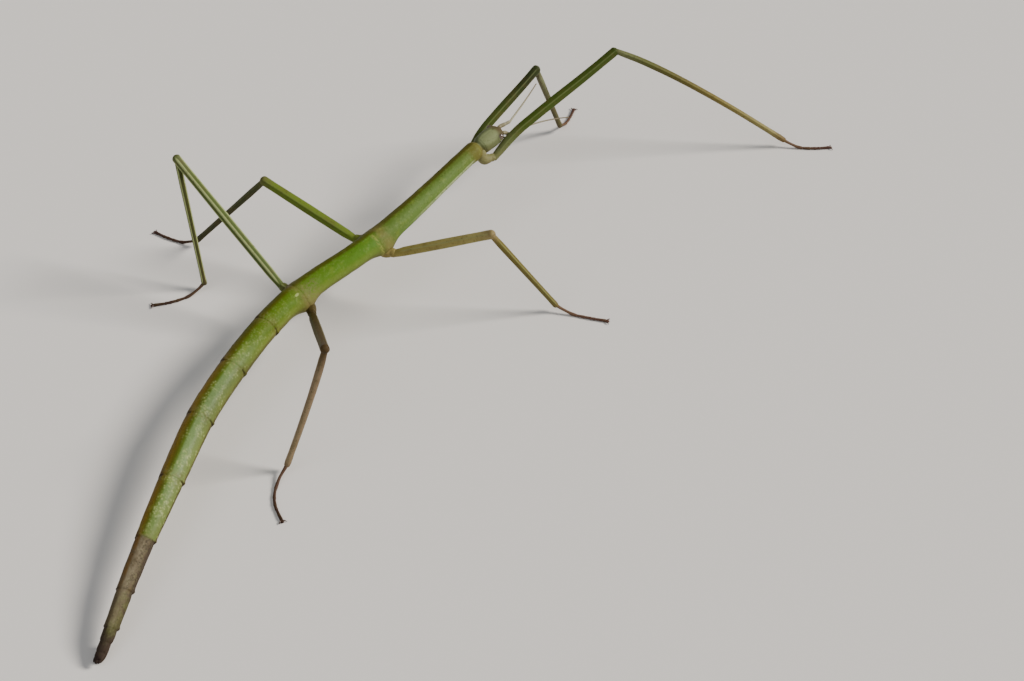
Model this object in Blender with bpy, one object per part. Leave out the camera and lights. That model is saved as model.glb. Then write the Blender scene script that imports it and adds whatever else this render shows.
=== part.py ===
"""A smooth stick insect, an adult female, standing on a flat floor.

Life size, in metres, +Z up. +X runs along the thorax towards the head and +Y to
the insect's left. The origin is under the middle of its bounding box, at the level
of its feet. Sizes below are in millimetres and angles in degrees: an azimuth turns
from +X towards +Y, and a rise is measured up from the horizontal.
"""

from math import asin, cos, degrees, pi, radians, sin

import bpy
from mathutils import Vector

MM = 0.001

# --- The trunk ------------------------------------------------------------------

WAIST_HEIGHT = 10.0
SEAM = 0.1
TRUNK_SIDES = 16
# Each segment from the neck to the tail: length, azimuth and rise of its axis towards
# the head, widths at its front, middle and rear, and its height over its width.
SEGMENTS = {
    "prothorax": (2.7, 2.0, 10.7, (2.5, 2.7, 2.75), 0.92),
    "mesothorax": (20.3, 3.6, 6.5, (2.75, 3.15, 3.75), 0.94),
    "metathorax": (14.0, -5.2, 6.2, (3.6, 3.65, 3.9), 0.94),
    "median_segment": (6.6, 8.5, 2.6, (3.8, 3.85, 3.95), 0.94),
    "abdomen_2": (8.6, 15.1, 3.3, (3.9, 3.95, 4.0), 0.94),
    "abdomen_3": (9.55, 19.8, 4.2, (3.95, 3.95, 3.9), 0.94),
    "abdomen_4": (10.3, 27.0, 5.6, (3.85, 3.75, 3.55), 0.94),
    "abdomen_5": (9.4, 27.7, 6.7, (3.45, 3.15, 2.85), 0.94),
    "abdomen_6": (7.7, 28.9, 8.2, (2.7, 2.45, 2.4), 0.94),
    "abdomen_7": (5.8, 29.5, 11.0, (2.3, 2.05, 1.95), 0.95),
    "abdomen_8": (1.8, 25.0, 19.0, (1.85, 1.75, 1.65), 0.95),
    "abdomen_9": (1.4, 21.0, 22.0, (1.6, 1.5, 1.4), 0.92),
    "abdomen_10": (1.2, 19.0, 22.0, (1.35, 1.2, 0.9), 0.85),
}
WAIST_JOINT = 2
RIM_SWELL = 1.03
RIM_INSET = 0.95

# --- The head -------------------------------------------------------------------

HEAD_LENGTH = 4.8
HEAD_AZIMUTH = -4.4
HEAD_RISE = 7.0
HEAD_SIDES = 16
# Stations along the head, as shares of its length, with half widths and half heights.
HEAD_STATIONS = (
    (0.02, 0.95, 0.88),
    (0.10, 1.22, 1.08),
    (0.30, 1.46, 1.24),
    (0.52, 1.58, 1.27),
    (0.70, 1.55, 1.18),
    (0.84, 1.28, 1.00),
    (0.94, 0.88, 0.74),
    (1.00, 0.45, 0.40),
)
EYE_STATION = 0.73
EYE_OFFSET = (1.38, 0.30)
EYE_RADII = (0.50, 0.34, 0.46)
ANTENNA_STATION = 0.93
ANTENNA_OFFSET = (0.60, 0.10)
SCAPE_LENGTH = 2.3
SCAPE_RADIUS = 0.36
FLAGELLUM_RADIUS = 0.26
# Each antenna: azimuth and rise of its scape, of its flagellum's base and of its tip,
# and the flagellum's length.
ANTENNAE = {
    "left": ((-12.0, 4.0), (16.0, 1.0), (22.0, -2.0), 9.9),
    "right": ((-3.0, -41.0), (10.0, -13.0), (-33.0, -6.0), 11.2),
}
MOUTH_STATION = 0.70
MOUTH_DROP = 0.98
MOUTH_RADII = (0.80, 0.56, 0.42)
PALP_STATION = 0.88
PALP_OFFSET = (0.40, -0.80)
PALP_LENGTH = 1.5
PALP_RADIUS = 0.26

# --- The legs -------------------------------------------------------------------

# Where each pair of coxae grows: trunk segment, share of its length from its front,
# distance out from the trunk's axis and drop below it.
COXA_ROOTS = {
    "front": ("prothorax", 0.55, 0.80, 0.70),
    "middle": ("mesothorax", 0.965, 0.95, 0.75),
    "hind": ("metathorax", 0.96, 0.95, 0.70),
}
COXA_RADIUS = 0.72
TROCHANTER_RADIUS = 0.66
# Half width and half height of each pair's femur at its base, middle and knee.
FEMUR_SECTIONS = {
    "front": ((0.62, 0.74), (0.76, 0.78), (0.72, 0.74)),
    "middle": ((0.68, 0.68), (0.76, 0.78), (0.72, 0.74)),
    "hind": ((0.66, 0.66), (0.71, 0.74), (0.66, 0.70)),
}
KNEE_RADIUS = 0.76
KNEE_ROWS = (-0.5, 0.0, 0.5, 0.85)
TIBIA_HALF_WIDTHS = (0.52, 0.46, 0.42)
ANKLE_RADIUS = 0.44
ANKLE_HEIGHT = 1.25
JOINT_GAP = 0.10
LEG_SIDES = 8
# The front femur is bowed at its base, where it passes the head: the share of its
# length where it's farthest out of line, and how far to the left and up it is there.
FRONT_BOW_AT = 0.20
FRONT_BOWS = {"front_left": (0.0, 0.70), "front_right": (0.18, 0.90)}
# Two tibiae are bowed, mostly in their upper half: how far out of line, as x, y and up.
TIBIA_BOWS = {"front_right": (0.0, 0.0, 1.30), "hind_right": (0.16, -0.17, 0.0)}
TIBIA_BOW_LEAN = 0.75
# Each leg: coxa, femur and tibia as (length, azimuth, rise), where the tibia's rise
# follows from the height of its ankle, and the tarsus as its length and its azimuths
# at the ankle and at the claws. The left front leg is a regrown, smaller one.
LEGS = {
    "front_left": ((3.0, 35.0, -26.0), (16.2, 2.8, 20.7), (16.2, 3.8), (5.4, 12.0, 28.0)),
    "front_right": ((2.7, -25.0, -22.0), (26.3, -3.2, 13.6), (31.2, -51.2), (7.0, -64.0, -36.0)),
    "middle_left": ((2.5, 118.0, -21.0), (16.2, 106.6, 20.1), (16.9, 127.0), (7.0, 122.0, 96.0)),
    "middle_right": ((1.7, -78.0, -33.0), (16.0, -58.6, 24.1), (16.5, -47.9), (7.4, -68.0, -58.0)),
    "hind_left": ((2.4, 95.7, -17.0), (23.9, 92.3, 33.0), (19.9, -112.8), (7.8, 176.0, 140.0)),
    "hind_right": ((2.5, -112.7, -16.4), (23.5, -126.0, 33.2), (20.0, 163.4), (9.0, -170.0, -100.0)),
}
REGROWN_LEG = "front_left"
REGROWN_SCALE = 0.96
TARSUS_HEIGHT = 0.22
TARSUS_DROP_SHARE = 0.30
TARSUS_HALF_WIDTH = 0.26
CLAW_SPREAD = 0.56

# --- The tail's small pieces ----------------------------------------------------

OPERCULUM_LENGTH = 3.6
OPERCULUM_HALF_WIDTH = 0.55
OPERCULUM_DROP = 1.0
CERCUS_LENGTH = 1.0
CERCUS_RADIUS = 0.26
CERCUS_SPREAD = 0.34

COLOURS = {
    "thorax": (0.20, 0.34, 0.05),
    "abdomen": (0.17, 0.25, 0.07),
    "tail": (0.16, 0.13, 0.09),
    "head": (0.33, 0.38, 0.18),
    "eye": (0.12, 0.07, 0.05),
    "feeler": (0.42, 0.38, 0.26),
    "green_leg": (0.17, 0.25, 0.04),
    "brown_leg": (0.13, 0.10, 0.06),
    "foot": (0.12, 0.07, 0.05),
}


def clear_scene():
    for old in list(bpy.data.objects):
        bpy.data.objects.remove(old)


def heading(azimuth, rise=0.0):
    """The unit vector of an azimuth and a rise, both in degrees."""
    a, r = radians(azimuth), radians(rise)
    return Vector((cos(a) * cos(r), sin(a) * cos(r), sin(r)))


def frame_along(direction):
    """The side and up vectors of a section square to this direction."""
    side = Vector((0.0, 0.0, 1.0)).cross(direction).normalized()
    return side, direction.cross(side).normalized()


def spline(points, share, i):
    """The point and the tangent of a smooth line through these points, share of the
    way from point i to the next."""
    a, b = points[i], points[i + 1]
    reach = (b - a).length
    ahead = (b - a) / reach
    slope_a, slope_b = ahead, ahead
    if i > 0:
        slope_a = ((a - points[i - 1]).normalized() + ahead).normalized()
    if i + 2 < len(points):
        slope_b = ((points[i + 2] - b).normalized() + ahead).normalized()
    t = share
    place = (
        a * (2 * t**3 - 3 * t**2 + 1)
        + slope_a * reach * (t**3 - 2 * t**2 + t)
        + b * (3 * t**2 - 2 * t**3)
        + slope_b * reach * (t**3 - t**2)
    )
    tangent = (
        ahead * reach * (6 * t - 6 * t**2)
        + slope_a * reach * (3 * t**2 - 4 * t + 1)
        + slope_b * reach * (3 * t**2 - 2 * t)
    )
    return place, tangent.normalized()


def section(centre, direction, half_width, half_height, sides, floor=None):
    """A ring of points round a centre, an ellipse square to this direction. Points
    below the floor are brought up to it, which gives a flat sole."""
    side, up = frame_along(direction)
    ring = []
    for k in range(sides):
        angle = 2 * pi * (k + 0.5) / sides
        point = centre + side * half_width * cos(angle) + up * half_height * sin(angle)
        if floor is not None:
            point.z = max(point.z, floor)
        ring.append(point)
    return ring


def loft(rings):
    """Closed mesh data through these rings, with a flat cap at each end."""
    sides = len(rings[0])
    points = [point for ring in rings for point in ring]
    faces = [tuple(reversed(range(sides)))]
    for row in range(len(rings) - 1):
        for k in range(sides):
            a, b = row * sides + k, row * sides + (k + 1) % sides
            faces.append((a, b, b + sides, a + sides))
    last = (len(rings) - 1) * sides
    faces.append(tuple(range(last, last + sides)))
    return points, faces


def add_mesh(name, origin, points, faces):
    """An object at this origin, from points in the insect's frame in millimetres."""
    mesh = bpy.data.meshes.new(name)
    mesh.from_pydata([(point - origin) * MM for point in points], [], faces)
    mesh.validate()
    mesh.shade_smooth()
    mesh.set_sharp_from_angle(angle=radians(50))
    thing = bpy.data.objects.new(name, mesh)
    bpy.context.collection.objects.link(thing)
    thing.location = origin * MM
    thing.parent = ROOT
    return thing


def add_node(name, colour, origin, points, faces, roughness=0.45):
    thing = add_mesh(name, origin, points, faces)
    material = bpy.data.materials.new(name)
    material.use_nodes = True
    shader = material.node_tree.nodes["Principled BSDF"]
    shader.inputs["Base Color"].default_value = (*COLOURS[colour], 1.0)
    shader.inputs["Roughness"].default_value = roughness
    shader.inputs["Metallic"].default_value = 0.0
    thing.data.materials.append(material)
    return thing


def add_guide(name, points, faces):
    """A helper that only trims its neighbours."""
    guide = add_mesh(name, Vector(), points, faces)
    guide.hide_render = True
    guide.display_type = "WIRE"
    return guide


def trim(thing, guide):
    cut = thing.modifiers.new("trim", "BOOLEAN")
    cut.operation = "DIFFERENCE"
    cut.object = guide


def ball_share(distance, radius):
    """The half width of a round end at this distance from its centre."""
    return radius * max(1.0 - (distance / radius) ** 2, 0.0) ** 0.5


def arc_share(share):
    """The height of a shallow arch over a span, 1 in its middle and 0 at its ends."""
    return max(4 * share * (1 - share), 0.0)


# --- Trunk ----------------------------------------------------------------------


def trunk_joints():
    """The joints of the trunk's axis from the neck to the tip, the waist at x = y = 0."""
    joints = [Vector()]
    for length, azimuth, rise, _, _ in SEGMENTS.values():
        joints.append(joints[-1] - heading(azimuth, rise) * length)
    shift = Vector((0.0, 0.0, WAIST_HEIGHT)) - joints[WAIST_JOINT]
    return [joint + shift for joint in joints]


def width_at(widths, share):
    """A parabola through the widths at the front, middle and rear."""
    front, middle, rear = widths
    return (
        front * (1 - share) * (1 - 2 * share)
        + middle * 4 * share * (1 - share)
        + rear * share * (2 * share - 1)
    )


def trunk_ring(name, share, swell=1.0, margin=0.0):
    index = list(SEGMENTS).index(name)
    _, _, _, widths, flatness = SEGMENTS[name]
    centre, tangent = spline(JOINTS, share, index)
    half = width_at(widths, share) * swell / 2
    return section(centre, -tangent, half + margin, half * flatness + margin, TRUNK_SIDES)


def add_trunk():
    """The trunk's rings run from the head to the tail, one node for each segment."""
    for index, (name, values) in enumerate(SEGMENTS.items()):
        seam = SEAM / 2 / values[0]
        rows = [(seam, RIM_INSET), (0.08, 1.0), (0.35, 1.0), (0.65, 1.0)]
        rows += [(0.93, RIM_SWELL), (1.0 - seam, RIM_INSET)]
        rings = [trunk_ring(name, share, swell) for share, swell in reversed(rows)]
        colour = "thorax" if index < 3 else "abdomen" if index < 8 else "tail"
        add_node(name, colour, JOINTS[index], *loft(rings))


def trunk_guide():
    rings = []
    for name in reversed(SEGMENTS):
        for share in (0.98, 0.8, 0.6, 0.4, 0.2, 0.02):
            rings.append(trunk_ring(name, share, RIM_SWELL, JOINT_GAP))
    return add_guide("trunk_guide", *loft(rings))


# --- Head -----------------------------------------------------------------------


def head_place(share, out=0.0, up=0.0):
    """A point of the head: a share of its length, then out to its left and up."""
    axis = heading(HEAD_AZIMUTH, HEAD_RISE)
    side, top = frame_along(axis)
    return JOINTS[0] + axis * HEAD_LENGTH * share + side * out + top * up


def head_rings(margin=0.0):
    axis = heading(HEAD_AZIMUTH, HEAD_RISE)
    rings = []
    for share, half_width, half_height in HEAD_STATIONS:
        centre = head_place(share)
        rings.append(section(centre, axis, half_width + margin, half_height + margin, HEAD_SIDES))
    return rings


def ellipsoid(centre, axis, radii, rows, sides):
    """Closed mesh data of an ellipsoid whose long radius lies along an axis."""
    long, wide, high = radii
    rings = []
    for row in range(rows):
        angle = pi * (row + 0.35) / (rows - 0.3)
        place = centre - axis * long * cos(angle)
        rings.append(section(place, axis, wide * sin(angle), high * sin(angle), sides))
    return loft(rings)


def curl(start, first, last, length, steps):
    """Points along a line that turns evenly from its first direction to its last."""
    path = [start]
    for step in range(steps):
        share = (step + 0.5) / steps
        azimuth = first[0] + (last[0] - first[0]) * share
        rise = first[1] + (last[1] - first[1]) * share
        path.append(path[-1] + heading(azimuth, rise) * length / steps)
    return path


def tube(path, halves, sides, floor=None):
    """Closed mesh data along a path, with a (half width, half height) at each point."""
    rings = []
    for i, (centre, (half_width, half_height)) in enumerate(zip(path, halves)):
        before, after = path[max(i - 1, 0)], path[min(i + 1, len(path) - 1)]
        direction = (after - before).normalized()
        rings.append(section(centre, direction, half_width, half_height, sides, floor))
    return loft(rings)


def add_head(guide):
    axis = heading(HEAD_AZIMUTH, HEAD_RISE)
    add_node("head", "head", JOINTS[0], *loft(head_rings()))
    mouth = head_place(MOUTH_STATION, 0.0, -MOUTH_DROP)
    lump = ellipsoid(mouth, axis, MOUTH_RADII, 7, 10)
    trim(add_node("mouthparts", "head", mouth, *lump), guide)
    for name, sign in (("left", 1), ("right", -1)):
        out, up = EYE_OFFSET
        centre = head_place(EYE_STATION, sign * out, up)
        eye = add_node(f"eye_{name}", "eye", centre, *ellipsoid(centre, axis, EYE_RADII, 7, 10), 0.2)
        trim(eye, guide)
        add_antenna(name, sign, guide)
        add_palp(name, sign, guide)


def add_antenna(name, sign, guide):
    out, up = ANTENNA_OFFSET
    start = head_place(ANTENNA_STATION, sign * out, up)
    scape, first, last, length = ANTENNAE[name]
    path = curl(start, scape, scape, SCAPE_LENGTH, 3)
    path += curl(path[-1], first, last, length, 10)[1:]
    halves = [(SCAPE_RADIUS, SCAPE_RADIUS)] * 3 + [(FLAGELLUM_RADIUS, FLAGELLUM_RADIUS)] * 11
    trim(add_node(f"antenna_{name}", "feeler", start, *tube(path, halves, 6)), guide)


def add_palp(name, sign, guide):
    out, up = PALP_OFFSET
    start = head_place(PALP_STATION, sign * out, up)
    path = curl(start, (sign * 20.0, -30.0), (sign * 8.0, -55.0), PALP_LENGTH, 3)
    halves = [(PALP_RADIUS, PALP_RADIUS)] * 4
    trim(add_node(f"palp_{name}", "head", start, *tube(path, halves, 6)), guide)


# --- Legs -----------------------------------------------------------------------


def coxa_root(pair, sign):
    """The point inside the trunk that a coxa grows from."""
    segment, share, out, drop = COXA_ROOTS[pair]
    centre, tangent = spline(JOINTS, share, list(SEGMENTS).index(segment))
    side, up = frame_along(-tangent)
    return centre + side * out * sign - up * drop


def leg_joints(name):
    """The coxa's root, the trochanter, the knee and the ankle of a leg."""
    pair, side = name.split("_")
    coxa, femur, tibia, _ = LEGS[name]
    root = coxa_root(pair, 1 if side == "left" else -1)
    trochanter = root + heading(coxa[1], coxa[2]) * coxa[0]
    knee = trochanter + heading(femur[1], femur[2]) * femur[0]
    rise = -degrees(asin((knee.z - ANKLE_HEIGHT) / tibia[0]))
    ankle = knee + heading(tibia[1], rise) * tibia[0]
    return root, trochanter, knee, ankle


def add_coxa(name, root, trochanter, guide):
    direction = (trochanter - root).normalized()
    reach = (trochanter - root).length
    rows = [(0.0, COXA_RADIUS), (reach * 0.5, COXA_RADIUS), (reach * 0.85, TROCHANTER_RADIUS)]
    rows += [(reach + TROCHANTER_RADIUS * k, ball_share(k, 1.0) * TROCHANTER_RADIUS) for k in (0.4, 0.75, 0.95)]
    rings = [section(root + direction * at, direction, half, half, LEG_SIDES) for at, half in rows]
    trim(add_node(f"coxa_{name}", "brown_leg", root, *loft(rings)), guide)


def bow(name, share):
    """How far a front femur's axis leaves the straight line."""
    if name not in FRONT_BOWS:
        return Vector()
    amount = min(share / FRONT_BOW_AT, (1 - share) / (1 - FRONT_BOW_AT))
    amount = amount * amount * (3 - 2 * amount)
    return Vector((0.0, *FRONT_BOWS[name])) * amount


def femur_loft(name, trochanter, knee, margin=0.0):
    """Closed mesh data of a femur with its round knee."""
    pair = name.split("_")[0]
    scale = REGROWN_SCALE if name == REGROWN_LEG else 1.0
    base, middle, end = FEMUR_SECTIONS[pair]
    reach = (knee - trochanter).length
    start = TROCHANTER_RADIUS + JOINT_GAP
    shares = [start / reach, 0.07, 0.13, 0.20, 0.32, 0.5, 0.75, 0.93]
    path = [trochanter.lerp(knee, share) + bow(name, share) for share in shares]
    halves = []
    for share in shares:
        halves.append([width_at(row, share) * scale + margin for row in zip(base, middle, end)])
    direction = (knee - trochanter).normalized()
    radius = KNEE_RADIUS * scale + margin
    for k in KNEE_ROWS:
        path.append(knee + direction * radius * k)
        halves.append((ball_share(k, 1.0) * radius,) * 2)
    return tube(path, halves, LEG_SIDES)


def add_femur(name, trochanter, knee):
    colour = "brown_leg" if name == "hind_right" else "green_leg"
    add_node(f"femur_{name}", colour, trochanter, *femur_loft(name, trochanter, knee))
    return add_guide(f"knee_guide_{name}", *femur_loft(name, trochanter, knee, JOINT_GAP))


def add_tibia(name, knee, ankle, guide):
    scale = REGROWN_SCALE if name == REGROWN_LEG else 1.0
    direction = (ankle - knee).normalized()
    reach = (ankle - knee).length
    rows = [(0.0, TIBIA_HALF_WIDTHS[0]), (1.5, TIBIA_HALF_WIDTHS[0])]
    rows += [(reach * share, TIBIA_HALF_WIDTHS[0]) for share in (0.12, 0.25)]
    rows += [(reach * share, TIBIA_HALF_WIDTHS[1]) for share in (0.38, 0.5)]
    rows += [(reach * 0.75, TIBIA_HALF_WIDTHS[1]), (reach * 0.95, TIBIA_HALF_WIDTHS[2])]
    rows += [(reach + ANKLE_RADIUS * k, ball_share(k, 1.0) * ANKLE_RADIUS) for k in (0.0, 0.5, 0.85)]
    bowed = Vector(TIBIA_BOWS.get(name, (0.0, 0.0, 0.0)))
    path = []
    for at, _ in rows:
        path.append(knee + direction * at + bowed * arc_share((at / reach) ** TIBIA_BOW_LEAN))
    halves = [(half * scale, half * scale) for _, half in rows]
    colour = "brown_leg" if name.startswith("hind") else "green_leg"
    trim(add_node(f"tibia_{name}", colour, knee, *tube(path, halves, LEG_SIDES)), guide)


def tarsus_path(name, ankle):
    """Points along the foot: down from the ankle to the floor, then flat to the claws."""
    length, first, last = LEGS[name][3]
    shares = [0.0, 0.14, 0.30, 0.45, 0.62, 0.80, 0.90, 1.0]
    start = (ANKLE_RADIUS + JOINT_GAP) * 0.9
    place = ankle.xy + heading(first).xy * start
    path = []
    for i, share in enumerate(shares):
        if i:
            middle = (share + shares[i - 1]) / 2
            step = (share - shares[i - 1]) * length
            place = place + heading(first + (last - first) * middle).xy * step
        sink = min(share / TARSUS_DROP_SHARE, 1.0)
        height = ankle.z + (TARSUS_HEIGHT - ankle.z) * (0.25 + 0.75 * sink)
        path.append(Vector((*place, height)))
    return path


def add_tarsus(name, ankle):
    half = TARSUS_HALF_WIDTH
    halves = [(half, half)] * 4 + [(half * 1.05, half)] * 2
    halves += [(CLAW_SPREAD * 0.75, half), (CLAW_SPREAD, half)]
    foot = tube(tarsus_path(name, ankle), halves, LEG_SIDES, 0.0)
    add_node(f"tarsus_{name}", "foot", ankle, *foot)


def add_legs(guide):
    for name in LEGS:
        root, trochanter, knee, ankle = leg_joints(name)
        add_coxa(name, root, trochanter, guide)
        knee_guide = add_femur(name, trochanter, knee)
        add_tibia(name, knee, ankle, knee_guide)
        add_tarsus(name, ankle)


# --- Tail -----------------------------------------------------------------------


def add_tail(guide):
    """The keeled plate under the last segments, which rests on the floor, and the two
    short cerci."""
    tip, near = JOINTS[-1], JOINTS[-4]
    back = (tip - near).normalized()
    under = near.lerp(tip, 0.1)
    path, halves = [], []
    for share, half in ((0.0, 0.5), (0.25, 0.9), (0.6, 1.0), (0.85, 0.85), (1.0, 0.5)):
        place = under + back * OPERCULUM_LENGTH * share
        path.append(Vector((place.x, place.y, place.z - OPERCULUM_DROP)))
        halves.append((OPERCULUM_HALF_WIDTH * half, OPERCULUM_HALF_WIDTH * half))
    plate = add_node("operculum", "tail", path[0], *tube(path, halves, 10, 0.0))
    trim(plate, guide)
    for name, sign in (("left", 1), ("right", -1)):
        side, _ = frame_along(-back)
        start = tip - back * 0.4 + side * sign * CERCUS_SPREAD
        path = [start + back * CERCUS_LENGTH * share for share in (0.0, 0.5, 1.0)]
        halves = [(CERCUS_RADIUS, CERCUS_RADIUS)] * 3
        trim(add_node(f"cercus_{name}", "tail", start, *tube(path, halves, 6)), guide)


def centre_on_origin():
    """Moves the root so that the origin lies under the middle of the bounding box."""
    bpy.context.view_layer.update()
    graph = bpy.context.evaluated_depsgraph_get()
    corners = []
    for thing in ROOT.children:
        if not thing.hide_render:
            shown = thing.evaluated_get(graph)
            corners += [shown.matrix_world @ Vector(corner) for corner in shown.bound_box]
    for axis in (0, 1):
        values = [corner[axis] for corner in corners]
        ROOT.location[axis] = -(min(values) + max(values)) / 2
    ROOT.location.z = -min(corner.z for corner in corners)


clear_scene()
ROOT = bpy.data.objects.new("stick_insect", None)
bpy.context.collection.objects.link(ROOT)
JOINTS = trunk_joints()
TRUNK_GUIDE = trunk_guide()
HEAD_GUIDE = add_guide("head_guide", *loft(head_rings(JOINT_GAP / 2)))
add_trunk()
add_head(HEAD_GUIDE)
add_legs(TRUNK_GUIDE)
add_tail(TRUNK_GUIDE)
centre_on_origin()
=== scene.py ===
"""The looks of a smooth stick insect: one ringed skin over its head and trunk, a ridged
skin on each leg, and its eyes, feelers, mouthparts, tail plates and claws.

Lengths are in millimetres and angles in degrees until a mesh is made. Everything is
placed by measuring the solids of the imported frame, so nothing here repeats their sizes.
"""

import bpy
import numpy as np
from mathutils import Matrix, Vector, noise


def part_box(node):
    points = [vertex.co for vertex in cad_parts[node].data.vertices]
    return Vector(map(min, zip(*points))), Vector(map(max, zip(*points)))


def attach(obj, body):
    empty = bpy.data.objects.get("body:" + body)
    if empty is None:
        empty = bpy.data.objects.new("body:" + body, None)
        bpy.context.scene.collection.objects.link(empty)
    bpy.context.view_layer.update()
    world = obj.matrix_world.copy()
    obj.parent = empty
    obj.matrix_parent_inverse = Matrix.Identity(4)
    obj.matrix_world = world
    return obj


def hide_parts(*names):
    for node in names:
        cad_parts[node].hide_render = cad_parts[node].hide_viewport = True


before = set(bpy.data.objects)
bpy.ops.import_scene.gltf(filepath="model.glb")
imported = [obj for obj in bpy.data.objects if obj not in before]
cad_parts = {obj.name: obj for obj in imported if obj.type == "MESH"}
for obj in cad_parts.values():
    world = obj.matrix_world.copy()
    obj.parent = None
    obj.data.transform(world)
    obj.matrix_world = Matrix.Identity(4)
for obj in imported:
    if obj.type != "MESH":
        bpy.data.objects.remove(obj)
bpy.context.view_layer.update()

MM = 0.001
UP = np.array([0.0, 0.0, 1.0])

# --- Driving sizes ---

TRUNK = ["prothorax", "mesothorax", "metathorax", "median_segment"]
TRUNK += [f"abdomen_{number}" for number in range(2, 11)]
SEGMENTS = len(TRUNK) + 1
THORAX_SEGMENTS = 3
PLAIN_TAIL_SEGMENTS = 3
LEGS = [f"{pair}_{side}" for pair in ("front", "middle", "hind") for side in ("left", "right")]

# The shares of a solid's length at which its section is measured.
SEGMENT_SHARES = (0.3, 0.5, 0.7)
END_SHARES = {
    "abdomen_10": (0.12, 0.35, 0.6, 0.8),
    "head": (0.04, 0.12, 0.24, 0.38, 0.52, 0.66, 0.78, 0.88, 0.95),
}
FEELER_SHARES = (0.03, 0.1, 0.17, 0.25, 0.35, 0.5, 0.65, 0.8, 0.92, 0.98)
PALP_SHARES = (0.08, 0.5, 0.92)
LIMB_SHARES = (0.04, 0.1, 0.2, 0.32, 0.5, 0.7, 0.86, 0.94)
TARSUS_SHARES = (0.08, 0.14, 0.25, 0.4, 0.55, 0.7, 0.85, 0.95)
OPERCULUM_SHARES = (0.06, 0.2, 0.4, 0.6, 0.8, 0.94)
CERCUS_SHARES = (0.25, 0.5)

SKIN_SPACING = 0.085
SKIN_SIDES = 128
# The tail's tip lies this far behind its first section, along each axis.
TIP_OFFSET = 0.10769
TAIL_ROUNDING, HEAD_ROUNDING = 0.5, 0.9
HEAD_FRONT = 0.8
LIP_HEIGHT = 0.045
TUCK_DEPTH = 0.04
GROOVE_DEPTH = 0.045
THORAX_GROOVE = 0.035
NECK_DEPTH = 0.2
NECK_WIDTH = 0.22
NECK_REACH = 0.6
CORNER_HEIGHT = 0.11
FLANK_RIDGE = 0.05
FLANK_ANGLE = 98.0
BACK_RIDGE = 0.04
SIDE_RIDGE = 0.06
BELLY_DEPTH = 0.1
HIP_SWELLINGS = {"front": 0.4, "middle": 0.9, "hind": 0.9}
HIP_RADIUS = 1.15
HIP_STRETCH = 1.6
SEAM_SHIFT = 0.6
BUMP_SIZE, BUMP_HEIGHT = 1.1, 0.025
GRANULES = 4200
GRANULE_RADIUS = 0.11
GRANULE_HEIGHT = 0.035
GRANULE_LEAN, GRANULE_SPREAD = -28.0, 36.0
GRANULE_SEED = 5

EYE_RADII = (0.5, 0.34, 0.46)
EYE_SINK = 0.06
SOCKET_RADII = {"eye": 0.53, "antenna": 0.36}
SOCKET_RIM = 0.09
SOCKET_DEPTH = 0.12
SUTURE_DEPTH, SIDE_SUTURE_DEPTH, FORK_DEPTH = 0.05, 0.02, 0.045
COLLARS = ((0.1, 0.05), (0.16, 0.025), (0.21, 0.015))
CHEEK_HEIGHT, BROW_HEIGHT = 0.07, 0.05

SCAPE_RADIUS = 0.3
FEELER_RING = 0.52
FEELER_ROOT = 0.45
PALP_RADIUS, INNER_PALP_RADIUS = 0.17, 0.11
PALP_BEAD = 0.48
PALP_ROOT = 0.3
SHORT_OF_TIP = 0.9

LEG_SPACING = 0.12
LEG_SIDES = 40
FEMUR_RIDGES = (38.0, 112.0, 180.0, 248.0, 322.0)
TIBIA_RIDGES = (45.0, 135.0, 225.0, 315.0)
COXA_RIDGES = (20.0, 110.0, 200.0, 290.0)
RIDGE_WIDTH = 13.0
RIDGE_SHARE = 0.12
COXA_RIDGE_SHARE = 0.07
RIDGE_BASE = 0.45
TROCHANTER_LENGTH = 0.85
TROCHANTER_WAIST = 0.045
COXA_RADII = {
    "front": (0.95, 0.8, 0.66, 0.56),
    "middle": (1.2, 0.92, 0.74, 0.64),
    "hind": (1.2, 0.86, 0.7, 0.6),
}
FEMUR_LEAD, TIBIA_LEAD = 0.55, 0.5
# Thickness along a joint: the shares of its length, then the share of its usual radius at each.
FEMUR_PROFILE = (
    (0.0, 0.05, 0.12, 0.5, 0.86, 0.955, 0.985, 1.0),
    (0.74, 0.84, 0.96, 1.02, 0.95, 0.98, 1.0, 0.9),
)
TIBIA_PROFILE = (
    (0.0, 0.03, 0.08, 0.2, 0.4, 0.65, 0.88, 0.96, 1.0),
    (0.92, 1.02, 1.08, 1.12, 1.04, 0.98, 0.94, 1.02, 0.9),
)
TARSUS_JOINTS = (0.0, 0.44, 0.6, 0.72, 0.8, 1.0)
TARSUS_RADIUS = 0.195
TARSUS_FLATNESS = 0.92
TARSUS_PAD = 0.1
ANKLE_DEPTH = 0.45
END_PAD_LENGTH = 0.35
END_PAD_RADII = (0.3, 0.26, 0.15)
CLAW_LENGTH = 0.95
CLAW_RADIUS = 0.11

CERCUS_SHORTER = 0.3
CERCUS_ROOT = 0.3
CERCUS_RADIUS = 0.17
KEEL_HEIGHT = 0.06
PLATE_RADII = (0.55, 0.34, 0.26)
PLATE_BACK = 0.4
PLATE_OVERLAP = 0.1
HINGE_DEPTH = 0.4

CAMERA_FROM_WAIST = Vector((-154.13, -170.97, 214.24)) * MM
CAMERA_BACK = Vector((-0.511, -0.4779, 0.7145))
LENS = 77.34
FLOOR_SIZE = 20.0
FLOOR_TONE = (243, 238, 232)
# Strength, softness and colour of each lamp.
KEY_LIGHT = (3.8, 18.0, (1.0, 0.96, 0.9))
FILL_LIGHT = (0.7, 60.0, (0.94, 0.97, 1.0))
SKY_TINT, SKY_STRENGTH = (0.8, 0.84, 0.9, 1.0), 0.2


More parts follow.
